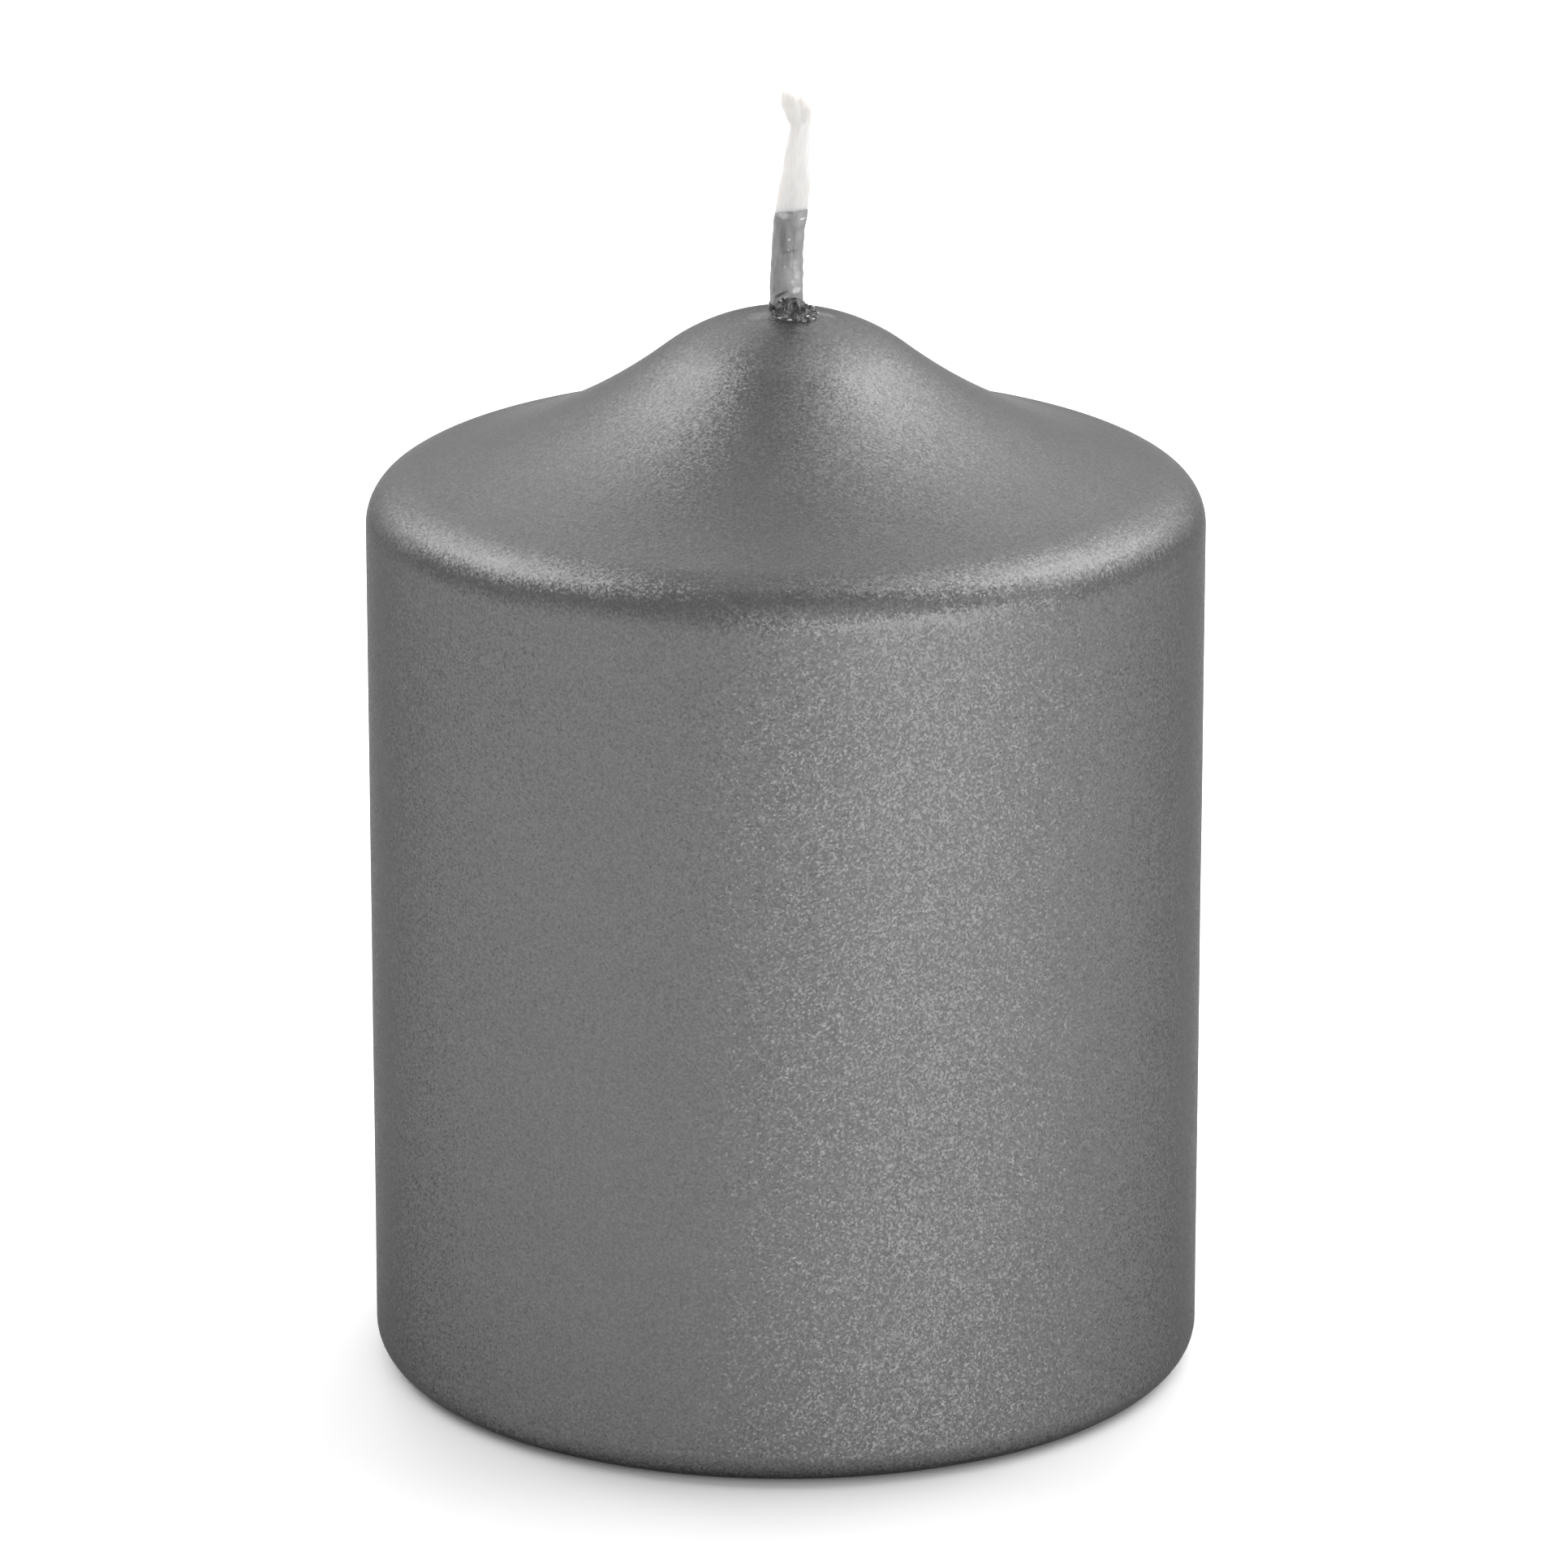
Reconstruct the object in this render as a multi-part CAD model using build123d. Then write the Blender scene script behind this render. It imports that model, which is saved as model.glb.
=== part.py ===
"""Peaked pillar candle: a pressed wax core, a dyed overdip, a metallic lacquer film and a plaited wick.

Millimetres. +Z is up, the candle stands on z = 0, and its axis is the Z axis.
Each piece has a function of its own, and each piece is written to parts/NODE.step.
"""
import os
from math import atan2, cos, degrees, pi, radians, sin, sqrt, tan

from build123d import *

# Candle body
BODY_RADIUS = 35.0
BODY_HEIGHT = 90.8  # to the top of the peak, without the wick
WALL_TOP = 72.8  # where the straight wall turns into the shoulder
BASE_EDGE_RADIUS = 2.8
SHOULDER_RADIUS = 4.0  # of the shoulder's lower and tighter part
SHOULDER_TURN = 55.0  # degrees that the lower part turns through
SHOULDER_TOP_RADIUS = 8.0  # of its upper and softer part
FLARE_RADIUS = 54.0  # the hollow curve from the shoulder up to the peak
PEAK_RADIUS = 17.0

# Layers over the pressed core
FILM = 0.2  # metallic lacquer
OVERDIP = 1.2  # dyed wax
CORE_EDGE_RADIUS = 2.6

# Dish in the standing face, which keeps the wick's anchor off the table
DISH_RADIUS = 26.0
DISH_CEILING_RADIUS = 25.4
DISH_DEPTH = 1.2

# Wick anchor: a tinplate disc with a neck crimped round the wick
ANCHOR_RADIUS = 10.0
ANCHOR_SHEET = 0.3
ANCHOR_NECK_RADIUS = 1.75
ANCHOR_ROUND_TO = 3.0  # height where the round neck starts to flatten
ANCHOR_CRIMP_FROM = 4.6  # height where it grips the wick
ANCHOR_TOP = 6.2
ANCHOR_GAP = 0.04  # between the crimp and the wick's sleeve

# Wick: three plaited cotton bundles in a sleeve of hard wax
WICK_BOTTOM = DISH_DEPTH - ANCHOR_SHEET
SLEEVE_WIDTH = 2.5
SLEEVE_THICKNESS = 1.5
SLEEVE_WALL = 0.12
SLEEVE_TURN = -39.0  # degrees from the X axis to the wick's broad side, inside the candle
BUNDLE_DIAMETER = 0.45
BUNDLE_TOP = 105.2
PLAIT_HALF_WIDTH = 0.6  # of the bundles' centre lines
PLAIT_HALF_THICKNESS = 0.35
PLAIT_PITCH = 9.0
PLAIT_CORNERS = 12  # in one pitch of a bundle's route
CORNER_SHARE = 0.45  # of the shorter run that each rounded corner uses

# The free end of the wick leans, twists and is pinched where it was cut:
# height, lean along X, turn in degrees, width, thickness
WICK_BENDS = 92.2
WICK_STATIONS = [
    (WICK_BENDS, 0.0, SLEEVE_TURN, SLEEVE_WIDTH, SLEEVE_THICKNESS),
    (97.2, 0.25, -36.0, SLEEVE_WIDTH, SLEEVE_THICKNESS),
    (99.6, 0.46, -6.0, 2.6, SLEEVE_THICKNESS),
    (103.6, 0.78, 56.0, SLEEVE_WIDTH, SLEEVE_THICKNESS),
    (106.3, 1.08, 86.0, 2.4, SLEEVE_THICKNESS),
    (107.7, 0.9, 95.0, 1.5, 2.15),
    (109.1, 0.55, 95.0, 1.1, 1.6),
]
WICK_SECTIONS = 18  # that the free end is lofted through
SLEEVE_CAP = 1.4  # hard wax over the end of the plait

# Lacquer on the wick, up to the line it was dipped to
WICK_FILM = 0.12
DIP_LINE = 99.0
DIP_SLOPE = 9.0  # degrees

# Crust of lacquer flecks and wax round the foot of the wick, most of it in front
CRUST_RADIUS = 2.3
CRUST_OFFSET = (0.3, -0.6)
CRUST_TOP_RADIUS = 1.62
CRUST_BOTTOM = 90.2
CRUST_TOP = 92.3


def flare_centre(shoulder, peak):
    """Centre of the flare's circle, which touches the upper shoulder's and the peak's from outside."""
    to_shoulder = FLARE_RADIUS + SHOULDER_TOP_RADIUS
    to_peak = FLARE_RADIUS + PEAK_RADIUS
    line = peak - shoulder
    along = (to_shoulder**2 - to_peak**2 + line.length**2) / (2 * line.length)
    across = sqrt(to_shoulder**2 - along**2)
    unit = line.normalized()
    return shoulder + unit * along + Vector(unit.Y, -unit.X) * across


def heading(start, end):
    """Angle in degrees from one point of the outline to another."""
    return degrees(atan2(end.Y - start.Y, end.X - start.X))


def body(inset, edge_radius, edge_height):
    """The whole candle's outline turned about Z, inset from the outer surface, on a flat base."""
    wall = BODY_RADIUS - inset
    foot = Vector(wall - edge_radius, edge_height)
    shoulder = Vector(BODY_RADIUS - SHOULDER_RADIUS, WALL_TOP)
    top_offset = Vector(SHOULDER_RADIUS - SHOULDER_TOP_RADIUS, 0).rotate(Axis.Z, SHOULDER_TURN)
    shoulder_top = shoulder + top_offset
    peak = Vector(0, BODY_HEIGHT - PEAK_RADIUS)
    flare = flare_centre(shoulder_top, peak)
    up_shoulder = heading(shoulder_top, flare)
    up_peak = heading(peak, flare)
    outline = [
        CenterArc(foot, edge_radius, -90, 90),
        Line((wall, edge_height), (wall, WALL_TOP)),
        CenterArc(shoulder, SHOULDER_RADIUS - inset, 0, SHOULDER_TURN),
        CenterArc(shoulder_top, SHOULDER_TOP_RADIUS - inset, SHOULDER_TURN, up_shoulder - SHOULDER_TURN),
        CenterArc(flare, FLARE_RADIUS + inset, up_shoulder + 180, up_peak - up_shoulder),
        CenterArc(peak, PEAK_RADIUS - inset, up_peak, 90 - up_peak),
        Polyline((0, BODY_HEIGHT - inset), (0, 0), (foot.X, 0)),
    ]
    if edge_height > edge_radius:
        outline.append(Line((foot.X, 0), (foot.X, edge_height - edge_radius)))
    return revolve(Plane.XZ * make_face(outline), Axis.Z)


def oval(width, thickness, height, lean=0.0, turn=SLEEVE_TURN):
    """A section across the wick."""
    across = (cos(radians(turn)), sin(radians(turn)), 0)
    plane = Plane(origin=(lean, 0, height), x_dir=across, z_dir=(0, 0, 1))
    return plane * Ellipse(width / 2, thickness / 2)


def oval_bar(margin, bottom, top):
    """A straight length of the wick's outer shape, a margin larger all round."""
    section = oval(SLEEVE_WIDTH + 2 * margin, SLEEVE_THICKNESS + 2 * margin, bottom)
    return extrude(section, top - bottom)


def wick_section(height):
    """Lean, turn, width and thickness of the wick at a height, between the stations beside it."""
    for low, high in zip(WICK_STATIONS, WICK_STATIONS[1:]):
        share = max(0, (height - low[0]) / (high[0] - low[0]))
        if share <= 1:
            break
    return [start + share * (end - start) for start, end in zip(low[1:], high[1:])]


def free_end(margin):
    """The leaning, twisting end of the wick above the crust, a margin larger all round."""
    step = (WICK_STATIONS[-1][0] - WICK_BENDS) / (WICK_SECTIONS - 1)
    sections = []
    for index in range(WICK_SECTIONS):
        height = WICK_BENDS + index * step
        lean, turn, width, thickness = wick_section(height)
        sections.append(oval(width + 2 * margin, thickness + 2 * margin, height, lean, turn))
    return loft(sections)


def wick_shape(margin):
    return oval_bar(margin, WICK_BOTTOM, WICK_BENDS) + free_end(margin)


def anchor_outside():
    """The anchor's neck as a solid plug, from the disc up."""
    wide = SLEEVE_WIDTH + 2 * (ANCHOR_GAP + ANCHOR_SHEET)
    thick = SLEEVE_THICKNESS + 2 * (ANCHOR_GAP + ANCHOR_SHEET)
    return anchor_neck(ANCHOR_NECK_RADIUS, wide, thick)


def anchor_neck(radius, wide, thick):
    """Round below, flattened by the crimp above."""
    round_part = Pos(0, 0, WICK_BOTTOM) * extrude(Circle(radius), ANCHOR_ROUND_TO - WICK_BOTTOM)
    flattening = loft([
        oval(2 * radius, 2 * radius, ANCHOR_ROUND_TO),
        oval(wide, thick, ANCHOR_CRIMP_FROM),
    ])
    crimp = extrude(oval(wide, thick, ANCHOR_CRIMP_FROM), ANCHOR_TOP - ANCHOR_CRIMP_FROM)
    return round_part + flattening + crimp


def wax_core():
    """The pressed block of white wax, with its dish, its wick channel and the anchor's seat."""
    dish = revolve(
        Plane.XZ * make_face(
            Polyline(
                (0, 0),
                (DISH_RADIUS, 0),
                (DISH_CEILING_RADIUS, DISH_DEPTH),
                (0, DISH_DEPTH),
                close=True,
            )
        ),
        Axis.Z,
    )
    block = body(FILM + OVERDIP, CORE_EDGE_RADIUS, CORE_EDGE_RADIUS) - dish
    return block - anchor_outside() - oval_bar(0, ANCHOR_TOP, BODY_HEIGHT)


def colour_overdip():
    """The dyed wax that the core was dipped in. It is trimmed flat with the core at the base."""
    dipped = body(FILM, BASE_EDGE_RADIUS - FILM, BASE_EDGE_RADIUS)
    core = body(FILM + OVERDIP, CORE_EDGE_RADIUS, CORE_EDGE_RADIUS)
    return dipped - core - oval_bar(0, BODY_HEIGHT / 2, BODY_HEIGHT)


def lacquer_film():
    """The metallic film over the wall, the base edge and the peaked top."""
    outside = body(0, BASE_EDGE_RADIUS, BASE_EDGE_RADIUS)
    dipped = body(FILM, BASE_EDGE_RADIUS - FILM, BASE_EDGE_RADIUS)
    return outside - dipped - oval_bar(0, BODY_HEIGHT / 2, BODY_HEIGHT + FILM)


def wick_anchor():
    """Disc and neck of one sheet, with the wick cut off flush in the middle of the disc."""
    disc = Pos(0, 0, WICK_BOTTOM) * extrude(Circle(ANCHOR_RADIUS), ANCHOR_SHEET)
    wide = SLEEVE_WIDTH + 2 * ANCHOR_GAP
    thick = SLEEVE_THICKNESS + 2 * ANCHOR_GAP
    return disc + anchor_outside() - anchor_neck(ANCHOR_NECK_RADIUS - ANCHOR_SHEET, wide, thick)


def wick_bundle(number):
    """One of the three bundles, on straight runs joined by tangent arcs."""
    step = PLAIT_PITCH / PLAIT_CORNERS
    corners = int((BUNDLE_TOP - WICK_BOTTOM) / step)
    points = []
    for corner in range(corners + 1):
        height = WICK_BOTTOM + corner * step
        phase = 2 * pi * (corner + 0.5) / PLAIT_CORNERS + 2 * pi * number / 3
        lean, turn = wick_section(height)[:2]
        side = Vector(PLAIT_HALF_WIDTH * sin(phase), PLAIT_HALF_THICKNESS * sin(2 * phase))
        points.append(Vector(lean, 0, height) + side.rotate(Axis.Z, turn))
    radii = []
    for before, here, after in zip(points, points[1:], points[2:]):
        run = min((here - before).length, (after - here).length)
        half_turn = radians((here - before).get_angle(after - here)) / 2
        radii.append(CORNER_SHARE * run / tan(half_turn))
    route = FilletPolyline(*points, radius=radii)
    section = Plane(origin=route @ 0, z_dir=route % 0) * Circle(BUNDLE_DIAMETER / 2)
    return sweep(section, path=route)


def wick_sleeve():
    """The hard wax round the plait, closed over its cut end."""
    plait_room = oval_bar(-SLEEVE_WALL, WICK_BOTTOM, WICK_BENDS) + free_end(-SLEEVE_WALL)
    cap = Pos(0, 0, BUNDLE_TOP + SLEEVE_CAP) * extrude(Circle(BODY_RADIUS), BODY_HEIGHT)
    return wick_shape(0) - (plait_room - cap)


def wick_lacquer():
    """The film on the wick, from the candle's top up to the slanting dip line."""
    lean = wick_section(DIP_LINE)[0]
    dip_plane = Plane(origin=(lean, 0, DIP_LINE)).rotated((0, -DIP_SLOPE, 0))
    above = extrude(dip_plane * Circle(BODY_RADIUS), BODY_HEIGHT)
    outside = body(0, BASE_EDGE_RADIUS, BASE_EDGE_RADIUS)
    return wick_shape(WICK_FILM) - wick_shape(0) - outside - above


def wick_crust():
    """The ring of flecks that the lacquer and wax leave where the wick comes out."""
    heap = loft([
        Pos(*CRUST_OFFSET, CRUST_BOTTOM) * Circle(CRUST_RADIUS),
        Pos(0, 0, CRUST_TOP) * Circle(CRUST_TOP_RADIUS),
    ])
    outside = body(0, BASE_EDGE_RADIUS, BASE_EDGE_RADIUS)
    return heap - outside - wick_shape(WICK_FILM)


def main():
    pieces = {
        "wax_core": wax_core(),
        "colour_overdip": colour_overdip(),
        "lacquer_film": lacquer_film(),
        "wick_anchor": wick_anchor(),
        "wick_sleeve": wick_sleeve(),
        "wick_lacquer": wick_lacquer(),
        "wick_crust": wick_crust(),
    }
    for number in range(3):
        pieces[f"wick_bundle_{number + 1}"] = wick_bundle(number)
    os.makedirs("parts", exist_ok=True)
    for name, piece in pieces.items():
        export_step(piece, f"parts/{name}.step")


main()
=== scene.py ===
"""Looks of the pillar candle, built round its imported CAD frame.

Metres, in the frame of the CAD part: +Z is up, the candle stands on z = 0, and -Y faces the camera.
A length that reads better in millimetres is a number times MM.
"""
import math
import random

import bmesh
import bpy
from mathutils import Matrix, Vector, noise

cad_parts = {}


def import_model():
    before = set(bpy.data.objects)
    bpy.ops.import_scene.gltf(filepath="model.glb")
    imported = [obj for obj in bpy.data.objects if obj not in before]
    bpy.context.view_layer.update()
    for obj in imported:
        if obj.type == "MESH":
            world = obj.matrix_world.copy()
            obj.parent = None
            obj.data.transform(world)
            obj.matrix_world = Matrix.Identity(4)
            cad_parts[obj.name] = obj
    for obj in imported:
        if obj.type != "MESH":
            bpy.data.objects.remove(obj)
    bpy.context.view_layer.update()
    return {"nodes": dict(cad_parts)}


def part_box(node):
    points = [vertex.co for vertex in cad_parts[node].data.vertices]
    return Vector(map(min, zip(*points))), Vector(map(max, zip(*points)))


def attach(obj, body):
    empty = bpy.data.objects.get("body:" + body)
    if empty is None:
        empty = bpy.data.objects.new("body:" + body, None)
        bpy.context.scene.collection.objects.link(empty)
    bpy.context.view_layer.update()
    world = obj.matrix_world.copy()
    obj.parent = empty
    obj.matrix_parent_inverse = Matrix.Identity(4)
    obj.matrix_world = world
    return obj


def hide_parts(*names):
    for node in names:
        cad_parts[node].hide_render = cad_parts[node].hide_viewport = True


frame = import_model()

MM = 0.001
TURN = 2 * math.pi

# Candle, on the same outline as the CAD film
BODY_RADIUS = 35.0 * MM
BODY_HEIGHT = 90.8 * MM
WALL_TOP = 72.8 * MM
BASE_EDGE_RADIUS = 2.8 * MM
SHOULDER_RADIUS = 4.0 * MM
SHOULDER_TURN = math.radians(55)
SHOULDER_TOP_RADIUS = 8.0 * MM
FLARE_RADIUS = 54.0 * MM
PEAK_RADIUS = 17.0 * MM
COAT_THICKNESS = 0.16 * MM
COAT_SIDES = 400
# The coat's faint waves, the uneven edge at its base and its lip at the wick
COAT_WAVE = 11 * MM
COAT_RELIEF = 0.02 * MM
BASE_RELIEF = 0.06 * MM
BASE_RELIEF_TOP = 4 * MM
LIP_HEIGHT = 0.2 * MM
LIP_WIDTH = 0.3 * MM
# Aluminium flake: its size, how far it leans, and the heights between which it settles flatter
FLAKE = 0.16 * MM
FLAKE_TILT = 0.45
FLAKE_TILT_PEAK = FLAKE_TILT * 0.45
FLAKE_SETTLES_FROM = 66 * MM
FLAKE_SETTLED = 78 * MM
# Pale smears on the peak beside the wick, in millimetres: middle and half lengths along X, Y and Z
SMEARS = [
    ((-2.1, -1.2, 90.6), (1.3, 1.3, 0.6)),
    ((3.3, -0.4, 90.45), (1.2, 0.9, 0.5)),
]
# Near the wick the coat's rings change from round to the wick's oval
OVAL_WITHIN = 6.0 * MM

# Wick: height, lean along X, turn in degrees, width and thickness, in millimetres
SLEEVE_TURN = -39.0
WICK_WIDTH = 2.5
WICK_THICKNESS = 1.5
WICK_STATIONS = [
    (0.0, 0.0, SLEEVE_TURN, WICK_WIDTH, WICK_THICKNESS),
    (88.0, 0.0, SLEEVE_TURN, WICK_WIDTH, WICK_THICKNESS),
    (92.0, 0.05, -34.0, 2.85, 1.8),
    (95.5, 0.11, -33.0, 2.7, 1.75),
    (98.2, 0.32, -30.0, 2.7, 1.7),
    (99.7, 0.51, -12.0, 2.8, 1.75),
    (101.2, 0.7, 12.0, 2.75, 1.75),
    (103.2, 0.86, 44.0, 2.65, 1.75),
    (104.8, 1.0, 58.0, 2.6, 1.75),
    (106.4, 1.16, 85.0, 2.2, 1.72),
    (107.4, 1.04, 95.0, 1.7, 2.35),
    (108.0, 0.95, 95.0, 1.6, 2.75),
    (108.75, 0.86, 95.0, 1.35, 2.6),
]
# Marks on the front of the lacquered wick, in millimetres: middle across and up, half width and
# half height, degrees of rise to the right, kind and strength
WICK_MARKS = [
    (0.5, 93.9, 1.0, 1.7, 0, "pale", 0.8),
    (-0.25, 97.2, 0.35, 1.8, 0, "dark", 0.45),
    (0.3, 96.0, 0.8, 0.25, 10, "dark", 0.35),
    (-0.4, 99.0, 1.0, 0.4, 0, "bright", 0.5),
    (-0.95, 92.6, 0.15, 0.6, 0, "dark", 0.6),
    (0.85, 92.75, 0.5, 0.35, 20, "bright", 0.5),
    (-0.3, 91.95, 0.9, 0.15, 33, "bright", 0.4),
    (-0.45, 92.3, 0.9, 0.16, 33, "dark", 1.0),
    (0.28, 97.0, 0.14, 0.14, 0, "bright", 0.7),
    (0.2, 96.15, 0.11, 0.11, 0, "bright", 0.5),
    (-0.08, 94.7, 0.13, 0.13, 0, "bright", 0.6),
    (1.4, 98.75, 0.3, 0.08, 15, "bright", 1.0),
]
# The marks' middle along Y and half their reach along it
WICK_FRONT = -1.0
MARK_DEPTH = 1.2
# Mesh of the wick: points round it, rows inside the candle, spacing of the rows above, and where it comes out
WICK_SIDES = 96
WICK_HIDDEN_ROWS = 60
WICK_ROW = 0.12
WICK_EXIT = 89.8
# Relief of the plait, its fibres and its lumps
PLAIT_PITCH = 9.0
PLAIT_HALF_WIDTH = 0.6
PLAIT_RELIEF = 0.05
FIBRE_RELIEF = 0.02
LUMP_RELIEF = 0.035
# Pinched tip: a crumpled end, with a high lobe on its left, a notch, and a lobe that falls away on its right
CRUMPLE_FROM = 105.3
CRUMPLE_FULL = 108.2
CRUMPLE_RELIEF = 0.12
FOLDS_FROM = 107.0
LEFT_LOBE = 0.6
LEFT_LOBE_EDGE = (0.8, 1.3)
NOTCH_DEPTH = 0.25
NOTCH_MIDDLE = 1.05
NOTCH_WIDTH = 0.25
RIGHT_FALL = 0.3
RIGHT_FALL_EDGE = (1.8, 2.3)
# Rings over its cut end: size as a share of the rim's, and rise
TIP_RINGS = [(0.9, 0.1), (0.72, 0.16), (0.5, 0.13), (0.25, 0.05)]
# The lacquer's upper edge on the wick: height and place along X, rise towards +X and the front, raggedness
DIP_LINE = 99.2
DIP_MIDDLE = 0.45
DIP_SLOPE = math.tan(math.radians(7.0))
DIP_SLOPE_FRONT = math.tan(math.radians(9.5))
DIP_RAGGED = 0.05
# Film on the wick, in millimetres: its lower end, thickness, blobs and feather edge
FILM_BOTTOM = 90.4
FILM_ROWS = 80
FILM_THICKNESS = 0.075
FILM_BLOBS = 0.04
FILM_EDGE = 0.012

# Crust round the wick, in millimetres: its width, what its front adds, and the front's heading in degrees
CRUST_WIDTH = 0.65
CRUST_FRONT_WIDTH = 1.75
CRUST_FRONT = -62.0
# How high it climbs the wick, how far it stands up, its rim, the trench inside that, its crags and its grit
CRUST_CLIMB = 1.75
CRUST_LIFT = 0.12
CRUST_RIM = 0.22
CRUST_TRENCH = 0.1
CRUST_CRAGS = 0.26
CRUST_GRIT = 0.09
# Its mesh: points round it, steps across it, and the height of its flat underside inside the coat
CRUST_SIDES = 220
CRUST_STEPS = 34
CRUST_BOTTOM = 90.0 * MM
# Beads of wax on it: heading in degrees, share of the way to its edge, and radius in millimetres
BEADS = [
    (-101, 0.9, 0.1),
    (-84, 0.95, 0.12),
    (-56, 0.9, 0.09),
    (-45, 0.92, 0.12),
    (-110, 0.25, 0.09),
]
STRAY_BEADS = 9

# Camera
CAMERA_ELEVATION = math.radians(17.2)
CAMERA_DISTANCE = 743.2 * MM
CAMERA_LENS = 202.8
CAMERA_TARGET = Vector((-0.156 * MM, 0, 49.7 * MM))

# Lights: azimuth from the camera's side towards +X, elevation, distance, width, height, brightness
LIGHTS = {
    "low_right": (36, 7, 1.0, 1.25, 0.28, 4.6),
    "low_left": (-50, 7, 1.0, 0.85, 0.28, 1.0),
    "side_right": (98, 40, 1.0, 0.85, 0.8, 1.4),
    "high_right": (112, 48, 1.0, 0.7, 0.6, 2.8),
    "high_left": (-112, 48, 1.0, 0.7, 0.6, 3.5),
    "back_right": (150, 22, 1.0, 0.95, 0.7, 2.6),
    "back_left": (-150, 22, 1.0, 0.95, 0.7, 2.6),
    "top_right": (120, 72, 1.0, 0.5, 0.4, 1.6),
    "top_back": (180, 45, 1.0, 0.6, 0.4, 1.1),
    "front": (10, 35, 1.0, 0.7, 0.7, 0.8),
}
WORLD_BRIGHTNESS = 0.45
FLOOR_HALF = 4.0
FLOOR_STEPS = 24


# ---------------------------------------------------------------- helpers


def smooth(low, high, value):
    """0 below low, 1 above high, and a smooth step between them."""
    share = min(1, max(0, (value - low) / (high - low)))
    return share * share * (3 - 2 * share)


def heading(angle):
    """Unit vector in the XY plane at an angle from +X."""
    return Vector((math.cos(angle), math.sin(angle), 0))


def mesh_object(name, points, faces, material, sharp_angle=60):
    """A piece from points and faces, smooth shaded, with its normals outwards."""
    mesh = bpy.data.meshes.new(name)
    mesh.from_pydata(points, [], faces)
    shaped = bmesh.new()
    shaped.from_mesh(mesh)
    bmesh.ops.recalc_face_normals(shaped, faces=shaped.faces)
    shaped.to_mesh(mesh)
    shaped.free()
    mesh.shade_smooth()
    mesh.set_sharp_from_angle(angle=math.radians(sharp_angle))
    mesh.materials.append(material)
    piece = bpy.data.objects.new(name, mesh)
    bpy.context.scene.collection.objects.link(piece)
    return piece


def ring_faces(rows, sides, closed_loop):
    """Quads between neighbouring rings of points, and from the last ring to the first if it is a loop."""
    faces = []
    for row in range(rows if closed_loop else rows - 1):
        low = row * sides
        high = (row + 1) % rows * sides
        for side in range(sides):
            beside = (side + 1) % sides
            faces.append((low + side, low + beside, high + beside, high + side))
    return faces


def shell_of_rings(name, rings, material):
    """A closed shell, whose rings run up its outside and down its inside."""
    points = [point for ring in rings for point in ring]
    return mesh_object(name, points, ring_faces(len(rings), len(rings[0]), True), material)


def solid_of_rings(name, rings, material):
    """A closed solid with a cap over its first and its last ring."""
    sides = len(rings[0])
    points = [point for ring in rings for point in ring]
    faces = ring_faces(len(rings), sides, False)
    for start in (0, (len(rings) - 1) * sides):
        middle = sum((points[start + side] for side in range(sides)), Vector()) / sides
        points.append(middle)
        for side in range(sides):
            faces.append((start + side, start + (side + 1) % sides, len(points) - 1))
    return mesh_object(name, points, faces, material)


# ---------------------------------------------------------------- outlines


def flare_centre(shoulder, peak):
    """Centre of the flare's circle, which touches the upper shoulder's and the peak's from outside."""
    to_shoulder = FLARE_RADIUS + SHOULDER_TOP_RADIUS
    to_peak = FLARE_RADIUS + PEAK_RADIUS
    line = peak - shoulder
    along = (to_shoulder**2 - to_peak**2 + line.length**2) / (2 * line.length)
    across = math.sqrt(to_shoulder**2 - along**2)
    unit = line.normalized()
    return shoulder + unit * along + Vector((unit.y, -unit.x)) * across


def arc(centre, radius, start, end, steps):
    """Points of an arc, without its first one."""
    points = []
    for step in range(1, steps + 1):
        angle = start + (end - start) * step / steps
        points.append(centre + radius * Vector((math.cos(angle), math.sin(angle))))
    return points


def body_outline(inset, detail):
    """Radius and height along the candle's outline, from its base to its peak."""
    foot = Vector((BODY_RADIUS - BASE_EDGE_RADIUS, BASE_EDGE_RADIUS))
    shoulder = Vector((BODY_RADIUS - SHOULDER_RADIUS, WALL_TOP))
    turned = Vector((math.cos(SHOULDER_TURN), math.sin(SHOULDER_TURN)))
    shoulder_top = shoulder + turned * (SHOULDER_RADIUS - SHOULDER_TOP_RADIUS)
    peak = Vector((0, BODY_HEIGHT - PEAK_RADIUS))
    flare = flare_centre(shoulder_top, peak)
    up_shoulder = math.atan2(flare.y - shoulder_top.y, flare.x - shoulder_top.x)
    up_peak = math.atan2(flare.y - peak.y, flare.x - peak.x)
    wall_steps = round(40 * detail)
    outline = [Vector((foot.x, inset))]
    outline += arc(foot, BASE_EDGE_RADIUS - inset, -math.pi / 2, 0, round(12 * detail))
    for step in range(1, wall_steps + 1):
        height = BASE_EDGE_RADIUS + (WALL_TOP - BASE_EDGE_RADIUS) * step / wall_steps
        outline.append(Vector((BODY_RADIUS - inset, height)))
    outline += arc(shoulder, SHOULDER_RADIUS - inset, 0, SHOULDER_TURN, round(14 * detail))
    outline += arc(shoulder_top, SHOULDER_TOP_RADIUS - inset, SHOULDER_TURN, up_shoulder, round(10 * detail))
    outline += arc(flare, FLARE_RADIUS + inset, up_shoulder + math.pi, up_peak + math.pi, round(40 * detail))
    outline += arc(peak, PEAK_RADIUS - inset, up_peak, math.pi / 2, round(34 * detail))
    return outline


def peak_height(radius, inset=0.0):
    """Height of the rounded peak at a distance from the axis."""
    return BODY_HEIGHT - PEAK_RADIUS + math.sqrt((PEAK_RADIUS - inset) ** 2 - radius**2)


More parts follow.
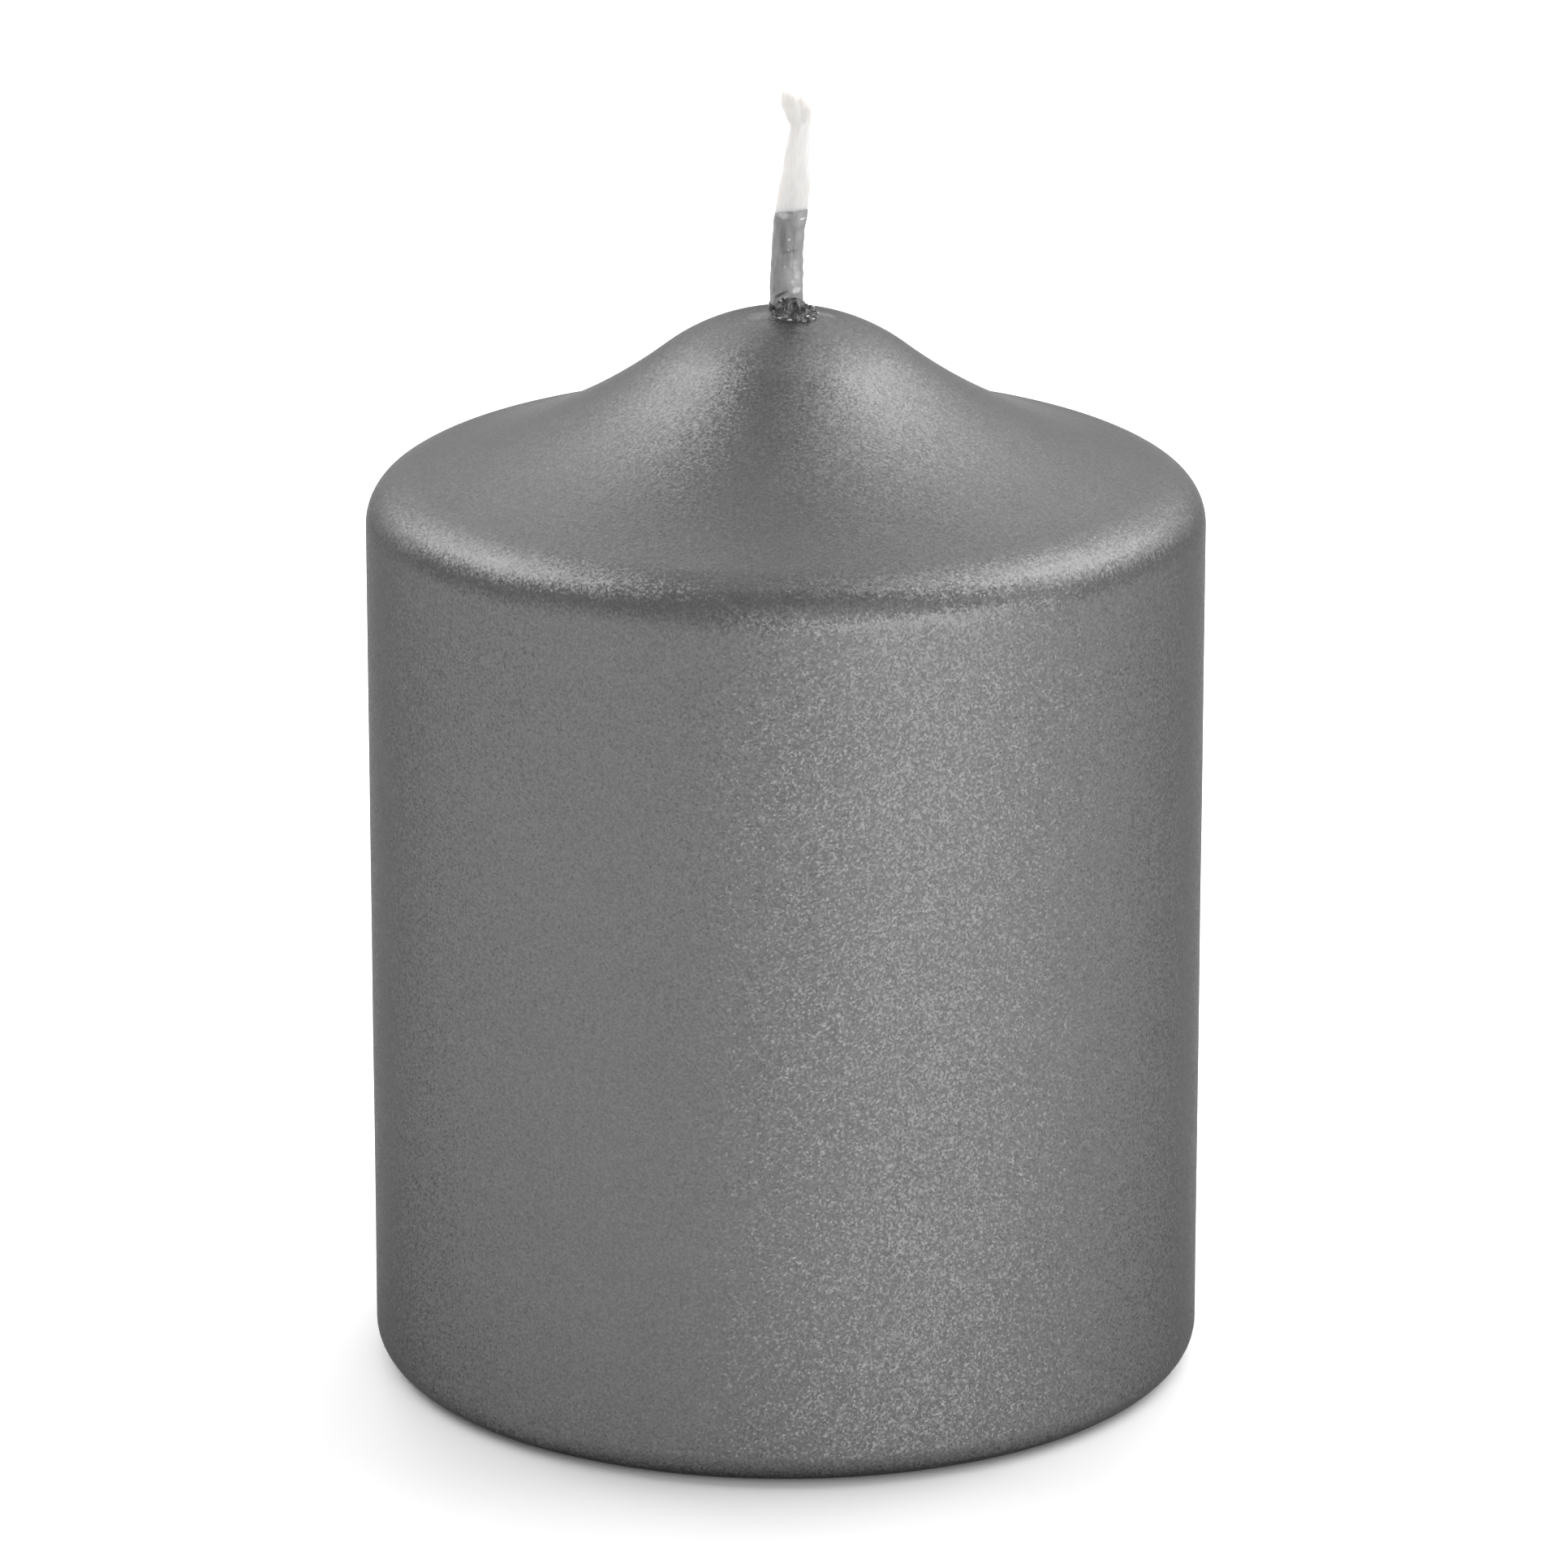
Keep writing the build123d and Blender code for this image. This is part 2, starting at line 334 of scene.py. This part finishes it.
def wick_hole(angle):
    """Distance from the axis to the wick's side where it leaves the candle."""
    turned = angle - math.radians(SLEEVE_TURN)
    return 2 * MM / math.hypot(4 * math.cos(turned) / WICK_WIDTH, 4 * math.sin(turned) / WICK_THICKNESS)


def wick_section(height):
    """Lean, turn, width and thickness at a height, on a smooth curve through the stations."""
    last = len(WICK_STATIONS) - 2
    index = 0
    while index < last and height > WICK_STATIONS[index + 1][0]:
        index += 1
    low, high = WICK_STATIONS[index], WICK_STATIONS[index + 1]
    before, after = WICK_STATIONS[max(index - 1, 0)], WICK_STATIONS[min(index + 2, last + 1)]
    run = high[0] - low[0]
    share = min(1, max(0, (height - low[0]) / run))
    values = []
    for part in range(1, 5):
        slope_low = run * (high[part] - before[part]) / (high[0] - before[0])
        slope_high = run * (after[part] - low[part]) / (after[0] - low[0])
        rise = high[part] - low[part]
        bend = (slope_low - rise) * (1 - share) - (slope_high - rise) * share
        values.append(low[part] + share * rise + share * (1 - share) * bend)
    return values


def plait_relief(across, up, height):
    """How far the nearest bundle of the plait lifts the wax, as a share of the relief."""
    lift = 0
    for bundle in range(3):
        phase = TURN * (height / PLAIT_PITCH + bundle / 3)
        apart = (across - PLAIT_HALF_WIDTH * math.sin(phase)) / 0.3
        nearness = (1 + math.copysign(1, up) * math.sin(2 * phase)) / 2
        lift = max(lift, math.exp(-apart * apart) * nearness)
    return lift


def wick_point(height, angle, margin):
    """A point on the waxed wick's surface, a margin outside it. Millimetres in, metres out."""
    lean, turn, width, thickness = wick_section(height)
    across = width / 2 * math.cos(angle)
    up = thickness / 2 * math.sin(angle)
    fibres = noise.noise(Vector((across * 5, up * 5, height * 0.35)))
    lumps = noise.noise(Vector((across * 1.6 + 7, up * 1.6, height * 1.1)))
    crumple = smooth(CRUMPLE_FROM, CRUMPLE_FULL, height)
    swell = PLAIT_RELIEF * (1 - crumple) * plait_relief(across, up, height)
    swell += FIBRE_RELIEF * fibres + (LUMP_RELIEF + CRUMPLE_RELIEF * crumple) * lumps + margin
    outwards = Vector((math.cos(angle) / width, math.sin(angle) / thickness, 0)).normalized()
    place = Vector((across, up, 0)) + outwards * swell
    turned = math.radians(turn)
    x = place.x * math.cos(turned) - place.y * math.sin(turned) + lean
    y = place.x * math.sin(turned) + place.y * math.cos(turned)
    return Vector((x, y, height)) * MM


def tip_fold(x, height):
    """How far the folds of the pinched tip lift a point. Millimetres."""
    left = LEFT_LOBE * (1 - smooth(*LEFT_LOBE_EDGE, x))
    notch = NOTCH_DEPTH * math.exp(-(((x - NOTCH_MIDDLE) / NOTCH_WIDTH) ** 2))
    right = RIGHT_FALL * smooth(*RIGHT_FALL_EDGE, x)
    return (left - notch - right) * smooth(FOLDS_FROM, WICK_STATIONS[-1][0], height)


# ---------------------------------------------------------------- pieces


def lacquer_coat(material):
    """The metallic film over the candle, with faint waves, an uneven base edge and a lip at the wick."""
    rings = []
    for inset, detail in ((0.0, 1.0), (COAT_THICKNESS, 0.4)):
        outline = body_outline(inset, detail)
        if inset:
            outline.reverse()
        for point in outline:
            relief = 0.0 if inset else COAT_RELIEF + BASE_RELIEF * (1 - smooth(0, BASE_RELIEF_TOP, point.y))
            ring = []
            for side in range(COAT_SIDES):
                angle = TURN * side / COAT_SIDES
                radius, height = point
                if radius < OVAL_WITHIN and height > WALL_TOP:
                    hole = wick_hole(angle)
                    radius = hole + (OVAL_WITHIN - hole) * radius / OVAL_WITHIN
                    height = peak_height(radius, inset)
                    if not inset:
                        height += LIP_HEIGHT * math.exp((hole - radius) / LIP_WIDTH)
                place = heading(angle) * radius + Vector((0, 0, height))
                ring.append(place + heading(angle) * relief * noise.noise(place / COAT_WAVE))
            rings.append(ring)
    return shell_of_rings("lacquer_coat", rings, material)


def wick_wax(material):
    """The waxed plait from its cut lower end to its pinched and notched tip."""
    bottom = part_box("wick_sleeve")[0].z / MM + 0.1
    tip = WICK_STATIONS[-1][0]
    hidden = WICK_HIDDEN_ROWS
    heights = [bottom + (WICK_EXIT - bottom) * row / hidden for row in range(hidden)]
    rows = round((tip - WICK_EXIT) / WICK_ROW)
    heights += [WICK_EXIT + (tip - WICK_EXIT) * row / rows for row in range(rows + 1)]
    rings = []
    for height in heights:
        ring = []
        for side in range(WICK_SIDES):
            point = wick_point(height, TURN * side / WICK_SIDES, 0)
            point.z += tip_fold(point.x / MM, height) * MM
            ring.append(point)
        rings.append(ring)
    centre = sum(rings[-1], Vector()) / WICK_SIDES
    rim = rings[-1]
    for shrink, rise in TIP_RINGS:
        ring = []
        for point in rim:
            place = centre + (point - centre) * shrink
            place.z = point.z * shrink + centre.z * (1 - shrink) + rise * MM
            place.z += 0.12 * MM * noise.noise(place / (0.5 * MM))
            ring.append(place)
        rings.append(ring)
    return solid_of_rings("wick_wax", rings, material)


def dip_height(angle):
    """Height of the lacquer's slanting and slightly ragged upper edge, in millimetres."""
    x, y, _ = wick_point(DIP_LINE, angle, 0) / MM
    ragged = DIP_RAGGED * noise.noise(Vector((math.cos(angle) * 2.5, math.sin(angle) * 2.5, 4)))
    return DIP_LINE + DIP_SLOPE * (x - DIP_MIDDLE) - DIP_SLOPE_FRONT * y + ragged


def wick_coat(material):
    """The lacquer on the lower part of the wick. It thins out to nothing at the dip line."""
    rings = []
    for inside in (False, True):
        rows = range(FILM_ROWS + 1)
        for row in reversed(rows) if inside else rows:
            share = row / FILM_ROWS
            ring = []
            for side in range(WICK_SIDES):
                angle = TURN * side / WICK_SIDES
                height = FILM_BOTTOM + (dip_height(angle) - FILM_BOTTOM) * share
                round_wick = Vector((math.cos(angle) * 3, math.sin(angle) * 3, height * 1.3))
                blobs = noise.fractal(round_wick, 0.6, 2, 3)
                feather = 1 - smooth(0.93, 1, share)
                thickness = (FILM_THICKNESS + FILM_BLOBS * blobs) * feather + FILM_EDGE
                ring.append(wick_point(height, angle, -0.01 if inside else thickness))
            rings.append(ring)
    return shell_of_rings("wick_coat", rings, material)


def crust_surface(angle, share):
    """A point of the craggy ring round the wick. The share runs from the wick to the ring's edge."""
    direction = heading(angle)
    front = max(0, math.cos(angle - math.radians(CRUST_FRONT)))
    uneven = 0.25 * noise.noise(direction * 1.9 + Vector((3, 0, 0)))
    spread = CRUST_WIDTH + CRUST_FRONT_WIDTH * front + uneven
    inner = wick_hole(angle) / MM - 0.12
    radius = inner + spread * share
    place = direction * radius
    crag = noise.ridged_multi_fractal(place * 1.5 + Vector((0, 0, 5)), 0.7, 2.1, 4, 1.0, 2.0) - 1
    grit = noise.noise(place * 7)
    climb = CRUST_CLIMB * (1 - share) ** 3
    rim = CRUST_RIM * math.exp(-(((share - 0.85) / 0.1) ** 2))
    trench = -CRUST_TRENCH * math.exp(-(((share - 0.6) / 0.18) ** 2))
    edge = 1 - smooth(0.9, 1, share)
    rough = (CRUST_CRAGS * crag + CRUST_GRIT * grit) * (0.5 + 0.5 * smooth(0, 0.25, share))
    lift = (climb + rim + trench + CRUST_LIFT + rough) * edge
    height = peak_height(radius * MM) / MM + max(lift, 0) + 0.02 - 0.1 * (1 - edge)
    return Vector((place.x, place.y, height)) * MM


def wick_flecks(material):
    """The crumbled ring of lacquer flecks, a closed solid that is let into the coat."""
    angles = [TURN * side / CRUST_SIDES for side in range(CRUST_SIDES)]
    rings = []
    for step in range(CRUST_STEPS + 1):
        rings.append([crust_surface(angle, step / CRUST_STEPS) for angle in angles])
    for ring in (rings[-1], rings[0]):
        rings.append([Vector((point.x, point.y, CRUST_BOTTOM)) for point in ring])
    return shell_of_rings("wick_flecks", rings, material)


def wax_beads(material):
    """Small glossy drops of wax on the crust's rim."""
    drawn = random.Random(11)
    shaped = bmesh.new()
    beads = list(BEADS)
    for _ in range(STRAY_BEADS):
        beads.append((drawn.uniform(-30, 220), drawn.uniform(0.55, 0.95), drawn.uniform(0.05, 0.09)))
    for degrees, share, size in beads:
        angle = math.radians(degrees)
        centre = crust_surface(angle, share)
        made = bmesh.ops.create_icosphere(shaped, subdivisions=3, radius=size * MM)
        along = heading(angle + math.pi / 2)
        for vertex in made["verts"]:
            lump = 1 + 0.25 * noise.noise(vertex.co / (0.12 * MM) + centre / MM)
            vertex.co = vertex.co * lump + along * (vertex.co.dot(along) * 0.7)
            vertex.co.z *= 0.7
            vertex.co += centre
    mesh = bpy.data.meshes.new("wax_beads")
    shaped.to_mesh(mesh)
    shaped.free()
    mesh.shade_smooth()
    mesh.materials.append(material)
    piece = bpy.data.objects.new("wax_beads", mesh)
    bpy.context.scene.collection.objects.link(piece)
    return piece


# ---------------------------------------------------------------- materials


def warm(level):
    """A grey or white that is very slightly warm."""
    return (level, level - 0.005, level - 0.01)


class Shader:
    """A node material whose Principled shader is fed by the nodes that it adds."""

    def __init__(self, name, **values):
        self.material = bpy.data.materials.new(name)
        self.material.use_nodes = True
        self.tree = self.material.node_tree
        self.surface = self.tree.nodes["Principled BSDF"]
        for socket, value in values.items():
            self.surface.inputs[socket.replace("_", " ")].default_value = value
        self.place = self.add("ShaderNodeTexCoord").outputs["Object"]

    def add(self, kind, **settings):
        node = self.tree.nodes.new(kind)
        for setting, value in settings.items():
            setattr(node, setting, value)
        return node

    def join(self, source, node, socket):
        self.tree.links.new(source, node.inputs[socket])

    def scaled(self, scale):
        """The place in the row's frame, scaled along each axis."""
        node = self.add("ShaderNodeMapping")
        node.inputs["Scale"].default_value = scale
        self.join(self.place, node, "Vector")
        return node.outputs["Vector"]

    def noise(self, size, detail=2.0, roughness=0.5, stretch=(1, 1, 1)):
        """Cloudy noise from 0 to 1, whose blobs are about this size."""
        node = self.add("ShaderNodeTexNoise")
        node.inputs["Scale"].default_value = 1
        node.inputs["Detail"].default_value = detail
        node.inputs["Roughness"].default_value = roughness
        self.join(self.scaled([1 / (size * part) for part in stretch]), node, "Vector")
        return node.outputs["Fac"]

    def cells(self, size, output="Color"):
        """Random cells of about this size."""
        node = self.add("ShaderNodeTexVoronoi")
        node.inputs["Scale"].default_value = 1
        self.join(self.scaled([1 / size] * 3), node, "Vector")
        return node.outputs[output]

    def spread(self, source, low, high, to_low, to_high):
        """Maps low..high to to_low..to_high, and holds it at the ends."""
        node = self.add("ShaderNodeMapRange")
        node.inputs["From Min"].default_value = low
        node.inputs["From Max"].default_value = high
        node.inputs["To Min"].default_value = to_low
        node.inputs["To Max"].default_value = to_high
        self.join(source, node, "Value")
        return node.outputs["Result"]

    def ramp(self, source, *stops):
        """Colours, each from its position on, with straight blends between them."""
        node = self.add("ShaderNodeValToRGB")
        stops = list(stops)
        for index, (position, colour) in enumerate(stops):
            element = node.color_ramp.elements[index] if index < 2 else node.color_ramp.elements.new(position)
            element.position = position
            element.color = (*colour, 1) if isinstance(colour, tuple) else (colour, colour, colour, 1)
        self.join(source, node, "Fac")
        return node.outputs["Color"]

    def mix(self, share, first, second):
        node = self.add("ShaderNodeMix", data_type="RGBA")
        self.join(share, node, "Factor")
        self.join(first, node, "A")
        self.join(second, node, "B")
        return node.outputs["Result"]

    def axis(self, name):
        """The place along the X, Y or Z axis, in metres."""
        node = self.add("ShaderNodeSeparateXYZ")
        self.join(self.place, node, 0)
        return node.outputs[name]

    def spot(self, middle, halves, rise, strength):
        """A soft spot, of this strength in the middle and 0 past its half lengths. Millimetres."""
        node = self.add("ShaderNodeMapping", vector_type="TEXTURE")
        node.inputs["Location"].default_value = [part * MM for part in middle]
        node.inputs["Rotation"].default_value = (0, -math.radians(rise), 0)
        node.inputs["Scale"].default_value = [part * MM for part in halves]
        self.join(self.place, node, "Vector")
        length = self.add("ShaderNodeVectorMath", operation="LENGTH")
        self.join(node.outputs["Vector"], length, 0)
        return self.spread(length.outputs["Value"], 0.4, 1, strength, 0)

    def bump(self, source, height, strength=1.0):
        """Adds relief of this height in metres to the surface."""
        node = self.add("ShaderNodeBump")
        node.inputs["Distance"].default_value = height
        node.inputs["Strength"].default_value = strength
        self.join(source, node, "Height")
        before = self.surface.inputs["Normal"].links
        if before:
            self.join(before[0].from_socket, node, "Normal")
        self.join(node.outputs["Normal"], self.surface, "Normal")

    def feed(self, socket, source):
        self.join(source, self.surface, socket)


def tilted_flakes(shader):
    """Normals that lean a little at random from flake to flake, and less so towards the peak."""
    middle = shader.add("ShaderNodeVectorMath", operation="SUBTRACT")
    shader.join(shader.cells(FLAKE), middle, 0)
    middle.inputs[1].default_value = (0.5, 0.5, 0.5)
    tilt = shader.spread(shader.axis("Z"), FLAKE_SETTLES_FROM, FLAKE_SETTLED, FLAKE_TILT, FLAKE_TILT_PEAK)
    scaled = shader.add("ShaderNodeVectorMath", operation="SCALE")
    shader.join(tilt, scaled, "Scale")
    shader.join(middle.outputs[0], scaled, 0)
    total = shader.add("ShaderNodeVectorMath", operation="ADD")
    shader.join(shader.add("ShaderNodeNewGeometry").outputs["Normal"], total, 0)
    shader.join(scaled.outputs[0], total, 1)
    unit = shader.add("ShaderNodeVectorMath", operation="NORMALIZE")
    shader.join(total.outputs[0], unit, 0)
    return unit.outputs[0]


def metallic_lacquer():
    """Satin grey lacquer full of fine aluminium flake, with pale smears by the wick."""
    shader = Shader("metallic_lacquer", Metallic=1.0)
    shader.surface.inputs["Specular Tint"].default_value = (0.33, 0.33, 0.33, 1)
    flake = shader.spread(shader.cells(FLAKE, "Distance"), 0, 0.9, 0, 1)
    body = shader.mix(
        shader.noise(6 * MM, 3),
        shader.ramp(shader.noise(1.5 * FLAKE, 1), (0.3, 0.115), (0.7, 0.175)),
        shader.ramp(flake, (0.1, 0.11), (0.9, 0.185)),
    )
    smear = shader.ramp(shader.noise(0.4 * MM, 3), (0.3, 0.2), (0.7, 0.26))
    for middle, halves in SMEARS:
        body = shader.mix(shader.spot(middle, halves, 0, 0.7), body, smear)
    shader.feed("Base Color", body)
    shader.feed("Roughness", shader.spread(shader.noise(3 * MM, 3), 0.3, 0.7, 0.38, 0.42))
    shader.feed("Normal", tilted_flakes(shader))
    return shader.material


def white_wax():
    """Waxed cotton, bright and cloudy, with faint fibres, and painted shade: dimmer to its right and at its
    back, with its tip painted a grey between the two sides.
    """
    shader = Shader("wick_wax", Roughness=0.38)
    shader.surface.inputs["Subsurface Weight"].default_value = 1.0
    shader.surface.inputs["Subsurface Radius"].default_value = (1.0, 0.9, 0.8)
    shader.surface.inputs["Subsurface Scale"].default_value = 1.6 * MM
    fibres = shader.noise(0.16 * MM, 3, 0.6, (1, 1, 9))
    # Painted shade: it is dimmer to the right and at the back, and its tip is painted evenly, only to offset
    # the stage lights. A real wick isn't.
    left = shader.ramp(fibres, (0.3, warm(0.66)), (0.7, warm(0.71)))
    right = shader.ramp(fibres, (0.3, warm(0.5)), (0.7, warm(0.55)))
    tip = shader.ramp(fibres, (0.3, warm(0.57)), (0.7, warm(0.62)))
    back = shader.ramp(fibres, (0.3, warm(0.4)), (0.7, warm(0.45)))
    body = shader.mix(shader.spread(shader.axis("X"), -0.6 * MM, 1.9 * MM, 0, 1), left, right)
    # Painted light and shade: the tip is blended towards a grey between the bright left and the dim right
    body = shader.mix(shader.spread(shader.axis("Z"), 107.6 * MM, 108.1 * MM, 0, 0.8), body, tip)
    # Painted shade: the back is dimmer
    body = shader.mix(shader.spread(shader.axis("Y"), 0.1 * MM, 0.7 * MM, 0, 1), body, back)
    shader.feed("Base Color", body)
    shader.bump(fibres, 0.03 * MM, 0.4)
    return shader.material


def wick_lacquer():
    """Thin lacquer on the wick, streaked along the fibres, with pale patches and bright specks."""
    shader = Shader("wick_lacquer", Metallic=0.6)
    streaks = shader.noise(0.35 * MM, 3, 0.6, (1, 1, 4))
    mottle = shader.noise(0.3 * MM, 4, 0.6)
    body = shader.ramp(streaks, (0.3, 0.21), (0.7, 0.28))
    kinds = {
        "dark": shader.ramp(mottle, (0.3, 0.05), (0.7, 0.11)),
        "pale": shader.ramp(mottle, (0.3, 0.3), (0.7, 0.41)),
        "bright": shader.ramp(mottle, (0.3, 0.5), (0.7, 0.75)),
    }
    for x, z, half_width, half_height, rise, kind, strength in WICK_MARKS:
        here = shader.spot((x, WICK_FRONT, z), (half_width, MARK_DEPTH, half_height), rise, strength)
        body = shader.mix(here, body, kinds[kind])
    shader.feed("Base Color", body)
    shader.feed("Roughness", shader.spread(mottle, 0.3, 0.7, 0.6, 0.45))
    shader.bump(streaks, 0.05 * MM, 0.5)
    return shader.material


def crust_flecks():
    """Crumbled lacquer, with painted shade: nearly black in the hollows of its relief, up to bare bright
    flecks on its crests.
    """
    shader = Shader("crust_flecks", Metallic=0.55)
    relief_and_painted_shade = shader.noise(0.5 * MM, 4, 0.65)
    # Painted shade: the colour falls to nearly black where the bump relief is lowest
    shader.feed("Base Color", shader.ramp(relief_and_painted_shade, (0.36, 0.015), (0.5, 0.06), (0.66, 0.22)))
    shader.feed("Roughness", shader.spread(relief_and_painted_shade, 0.35, 0.65, 0.6, 0.3))
    shader.bump(relief_and_painted_shade, 0.25 * MM, 1.0)
    return shader.material


def clear_wax():
    """Glossy drops of wax."""
    shader = Shader("clear_wax", Roughness=0.12)
    shader.surface.inputs["Coat Weight"].default_value = 0.6
    shader.feed("Base Color", shader.ramp(shader.noise(0.2 * MM, 2), (0.3, 0.3), (0.7, 0.6)))
    return shader.material


def pressed_wax():
    """White paraffin pressed from granules, whose borders still show."""
    shader = Shader("pressed_wax", Roughness=0.45)
    shader.surface.inputs["Subsurface Weight"].default_value = 0.6
    shader.surface.inputs["Subsurface Scale"].default_value = 2.5 * MM
    grains = shader.cells(1.3 * MM, "Distance")
    shader.feed("Base Color", shader.ramp(grains, (0.2, (0.9, 0.88, 0.83)), (0.9, (0.78, 0.76, 0.7))))
    shader.bump(grains, 0.12 * MM, 0.5)
    shader.bump(shader.noise(0.3 * MM, 4), 0.05 * MM, 0.5)
    return shader.material


def dyed_wax():
    """Dark grey overdip, scraped flat where the candle stands."""
    shader = Shader("dyed_wax", Roughness=0.5)
    scrapes = shader.noise(0.5 * MM, 4, 0.6, (1, 5, 1))
    shader.feed("Base Color", shader.ramp(scrapes, (0.3, 0.09), (0.7, 0.15)))
    shader.bump(scrapes, 0.04 * MM, 0.6)
    return shader.material


def tinplate():
    """Bright rolled sheet with light scratches."""
    shader = Shader("tinplate", Metallic=1.0)
    rolled = shader.noise(0.12 * MM, 3, 0.6, (1, 14, 1))
    shader.feed("Base Color", shader.ramp(rolled, (0.3, (0.5, 0.5, 0.52)), (0.7, (0.72, 0.72, 0.73))))
    shader.feed("Roughness", shader.spread(rolled, 0.3, 0.7, 0.24, 0.4))
    shader.bump(rolled, 0.01 * MM, 0.6)
    return shader.material


def waxed_cotton():
    """Cotton plies soaked in wax."""
    shader = Shader("waxed_cotton", Roughness=0.7)
    plies = shader.noise(0.08 * MM, 2, 0.5, (1, 1, 6))
    shader.feed("Base Color", shader.ramp(plies, (0.3, (0.75, 0.72, 0.65)), (0.7, (0.92, 0.9, 0.85))))
    shader.bump(plies, 0.04 * MM, 0.8)
    return shader.material


def pale_floor():
    """Matt white card."""
    shader = Shader("pale_floor", Roughness=0.6)
    shader.feed("Base Color", shader.ramp(shader.noise(0.08, 3), (0.3, 0.9), (0.7, 0.92)))
    return shader.material


# ---------------------------------------------------------------- stage


def floor():
    """A large pale floor that runs well past the view."""
    marks = [FLOOR_HALF * (2 * step / FLOOR_STEPS - 1) for step in range(FLOOR_STEPS + 1)]
    points = [(x, y, 0) for y in marks for x in marks]
    faces = []
    for row in range(FLOOR_STEPS):
        for column in range(FLOOR_STEPS):
            corner = row * len(marks) + column
            above = corner + len(marks)
            faces.append((corner, corner + 1, above + 1, above))
    mesh_object("floor", points, faces, pale_floor())


def softbox(name, azimuth, elevation, distance, width, height, brightness):
    """A rectangular soft light that faces the candle and that the camera doesn't see."""
    light = bpy.data.lights.new(name, "AREA")
    light.shape = "RECTANGLE"
    light.size = width
    light.size_y = height
    light.energy = brightness * math.pi * width * height
    lamp = bpy.data.objects.new(name, light)
    lamp.visible_camera = False
    round_to = math.radians(azimuth)
    up_to = math.radians(elevation)
    level = math.cos(up_to)
    towards = Vector((math.sin(round_to) * level, -math.cos(round_to) * level, math.sin(up_to)))
    aim = Vector((0, 0, BODY_HEIGHT / 2))
    lamp.location = aim + towards * distance
    lamp.rotation_euler = towards.to_track_quat("Z", "Y").to_euler()
    bpy.context.scene.collection.objects.link(lamp)


def world():
    """Even pale light from all round."""
    surroundings = bpy.data.worlds.new("studio")
    surroundings.use_nodes = True
    background = surroundings.node_tree.nodes["Background"]
    background.inputs["Color"].default_value = (1, 1, 1, 1)
    background.inputs["Strength"].default_value = WORLD_BRIGHTNESS
    bpy.context.scene.world = surroundings


def camera():
    """The camera stands in front, a little above the candle."""
    lens = bpy.data.cameras.new("camera")
    lens.lens = CAMERA_LENS
    lens.sensor_width = 36
    lens.clip_start = 0.01
    lens.clip_end = 20
    eye = bpy.data.objects.new("camera", lens)
    back = Vector((0, -math.cos(CAMERA_ELEVATION), math.sin(CAMERA_ELEVATION)))
    eye.location = CAMERA_TARGET + back * CAMERA_DISTANCE
    eye.rotation_euler = back.to_track_quat("Z", "Y").to_euler()
    bpy.context.scene.collection.objects.link(eye)
    bpy.context.scene.camera = eye


# ---------------------------------------------------------------- the candle


def add_piece(piece, slot, *nodes):
    """A new piece rides with the candle and stands for CAD nodes, which it hides. Its slot is not used."""
    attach(piece, "root")
    if nodes:
        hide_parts(*nodes)


def refinish(node, material):
    """A CAD node keeps its shape and gets a better material."""
    slots = frame["nodes"][node].data.materials
    slots.clear()
    slots.append(material)


bpy.context.scene.view_settings.view_transform = "Standard"
camera()
world()
floor()
for name, settings in LIGHTS.items():
    softbox(name, *settings)

add_piece(lacquer_coat(metallic_lacquer()), "metallic_lacquer", "lacquer_film")
add_piece(wick_wax(white_wax()), "wick_wax", "wick_sleeve")
add_piece(wick_coat(wick_lacquer()), "wick_lacquer", "wick_lacquer")
add_piece(wick_flecks(crust_flecks()), "lacquer_flecks", "wick_crust")
add_piece(wax_beads(clear_wax()), "wick_wax")

refinish("wax_core", pressed_wax())
refinish("colour_overdip", dyed_wax())
refinish("wick_anchor", tinplate())
cotton = waxed_cotton()
for number in range(1, 4):
    refinish(f"wick_bundle_{number}", cotton)
